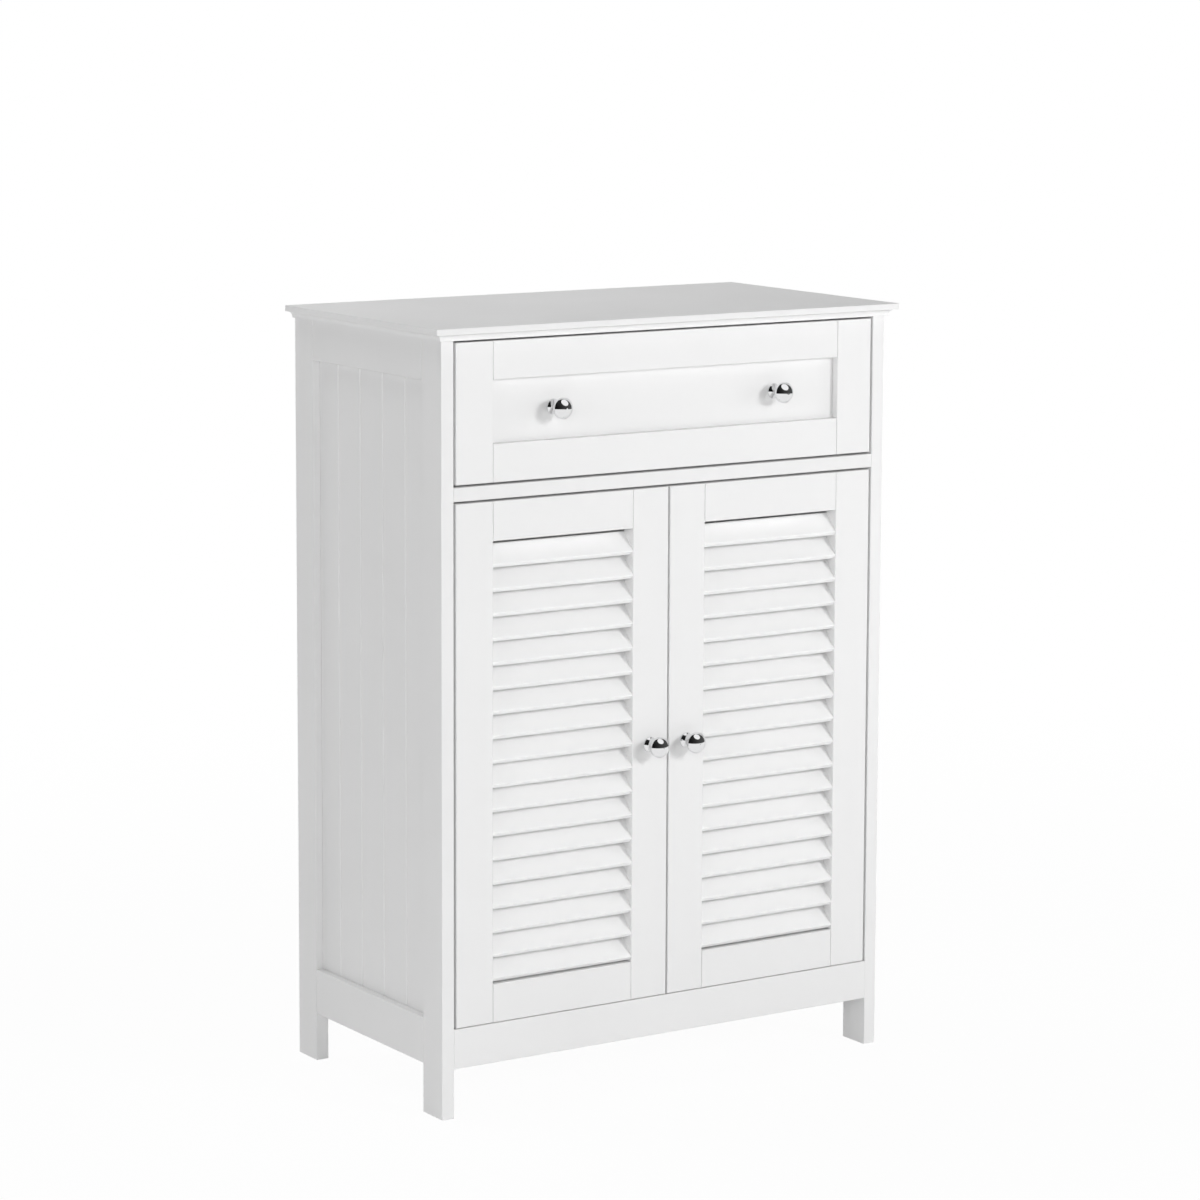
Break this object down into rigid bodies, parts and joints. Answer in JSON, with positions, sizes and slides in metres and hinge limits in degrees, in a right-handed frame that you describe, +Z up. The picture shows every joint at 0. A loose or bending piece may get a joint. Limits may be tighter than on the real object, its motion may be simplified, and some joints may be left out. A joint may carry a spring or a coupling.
{
  "type": "louvred door cabinet",
  "caption": "Small white cabinet on straight legs: a drawer with two knobs over a pair of louvred doors, beaded side panels and a moulded top.",
  "frame": {"origin": "on the floor, under the middle of the width and of the depth over the knobs", "axes": "+Z up, the front with the doors and the drawer faces -Y, +X to the right seen from the front"},
  "size_m": [0.6, 0.344, 0.85],
  "materials": {
    "painted_wood": "smooth white paint, satin",
    "painted_board": "smooth white paint, satin, on flat board",
    "box_board": "white foil, satin",
    "thin_board": "thin board painted white on its seen face",
    "knob_chrome": "polished plating",
    "hinge_steel": "nickel plated, half bright",
    "screw_steel": "zinc plated",
    "cam_zinc": "die cast, dull",
    "runner_steel": "white epoxy coat",
    "roller_nylon": "moulded, matt",
    "dowel_beech": "fluted beech, bare"
  },
  "bodies": {
    "carcass": {"top_board": "painted_wood", "divider_panel": "painted_board", "floor_panel": "painted_board", "front_apron": "painted_wood", "back_panel": "thin_board", "right_side_front_stile": "painted_wood", "left_side_front_stile": "painted_wood", "right_side_rear_stile": "painted_wood", "left_side_rear_stile": "painted_wood", "right_side_top_rail": "painted_wood", "left_side_top_rail": "painted_wood", "right_side_bottom_rail": "painted_wood", "left_side_bottom_rail": "painted_wood", "right_side_bead_panel": "painted_wood", "left_side_bead_panel": "painted_wood", "cam_locks": "cam_zinc", "cam_bolts": "cam_zinc", "dowels": "dowel_beech", "shelf": "painted_board", "shelf_pins": "hinge_steel", "hinge_arms": "hinge_steel", "hinge_plates": "hinge_steel", "cabinet_screws": "screw_steel", "runner_channels": "runner_steel", "channel_axles": "screw_steel"},
    "right_door": {"right_door_hinge_stile": "painted_wood", "right_door_meeting_stile": "painted_wood", "right_door_top_rail": "painted_wood", "right_door_bottom_rail": "painted_wood", "right_door_slats": "painted_wood", "right_door_knob": "knob_chrome", "right_hinge_cups": "hinge_steel", "right_door_screws": "screw_steel"},
    "left_door": {"left_door_hinge_stile": "painted_wood", "left_door_meeting_stile": "painted_wood", "left_door_top_rail": "painted_wood", "left_door_bottom_rail": "painted_wood", "left_door_slats": "painted_wood", "left_door_knob": "knob_chrome", "left_hinge_cups": "hinge_steel", "left_door_screws": "screw_steel"},
    "drawer": {"runner_rails": "runner_steel", "rail_axles": "screw_steel", "right_drawer_front_stile": "painted_wood", "left_drawer_front_stile": "painted_wood", "drawer_front_top_rail": "painted_wood", "drawer_front_bottom_rail": "painted_wood", "drawer_front_panel": "painted_wood", "right_drawer_side": "box_board", "left_drawer_side": "box_board", "drawer_back": "box_board", "drawer_bottom": "thin_board", "drawer_knobs": "knob_chrome", "drawer_cam_fittings": "cam_zinc", "drawer_screws": "screw_steel"},
    "right_front_roller": {"right_front_roller": "roller_nylon"},
    "left_front_roller": {"left_front_roller": "roller_nylon"},
    "right_rear_roller": {"right_rear_roller": "roller_nylon"},
    "left_rear_roller": {"left_rear_roller": "roller_nylon"}
  },
  "joints": [
    {"name": "drawer_slide", "type": "slide", "parent": "carcass", "child": "drawer", "axis": [0, -1, 0], "range_m": [0, 0.19]},
    {"name": "left_door_hinge", "type": "hinge", "parent": "carcass", "child": "left_door", "pos_m": [-0.2545, -0.135, 0.381], "axis": [0, 0, -1], "range_deg": [0, 95]},
    {"name": "right_door_hinge", "type": "hinge", "parent": "carcass", "child": "right_door", "pos_m": [0.2545, -0.135, 0.381], "axis": [0, 0, 1], "range_deg": [0, 95]},
    {"name": "left_front_roller_spin", "type": "hinge", "parent": "carcass", "child": "left_front_roller", "pos_m": [-0.26675, -0.114, 0.70185], "axis": [1, 0, 0], "continuous": true},
    {"name": "left_rear_roller_spin", "type": "hinge", "parent": "drawer", "child": "left_rear_roller", "pos_m": [-0.26675, 0.132, 0.70025], "axis": [1, 0, 0], "continuous": true},
    {"name": "right_front_roller_spin", "type": "hinge", "parent": "carcass", "child": "right_front_roller", "pos_m": [0.26675, -0.114, 0.70185], "axis": [1, 0, 0], "continuous": true},
    {"name": "right_rear_roller_spin", "type": "hinge", "parent": "drawer", "child": "right_rear_roller", "pos_m": [0.26675, 0.132, 0.70025], "axis": [1, 0, 0], "continuous": true}
  ],
  "couplings": [
    {"joint": "left_front_roller_spin", "follows": "drawer_slide", "rad_per_m": 117.65},
    {"joint": "left_rear_roller_spin", "follows": "drawer_slide", "rad_per_m": 117.65},
    {"joint": "right_front_roller_spin", "follows": "drawer_slide", "rad_per_m": 117.65},
    {"joint": "right_rear_roller_spin", "follows": "drawer_slide", "rad_per_m": 117.65}
  ]
}
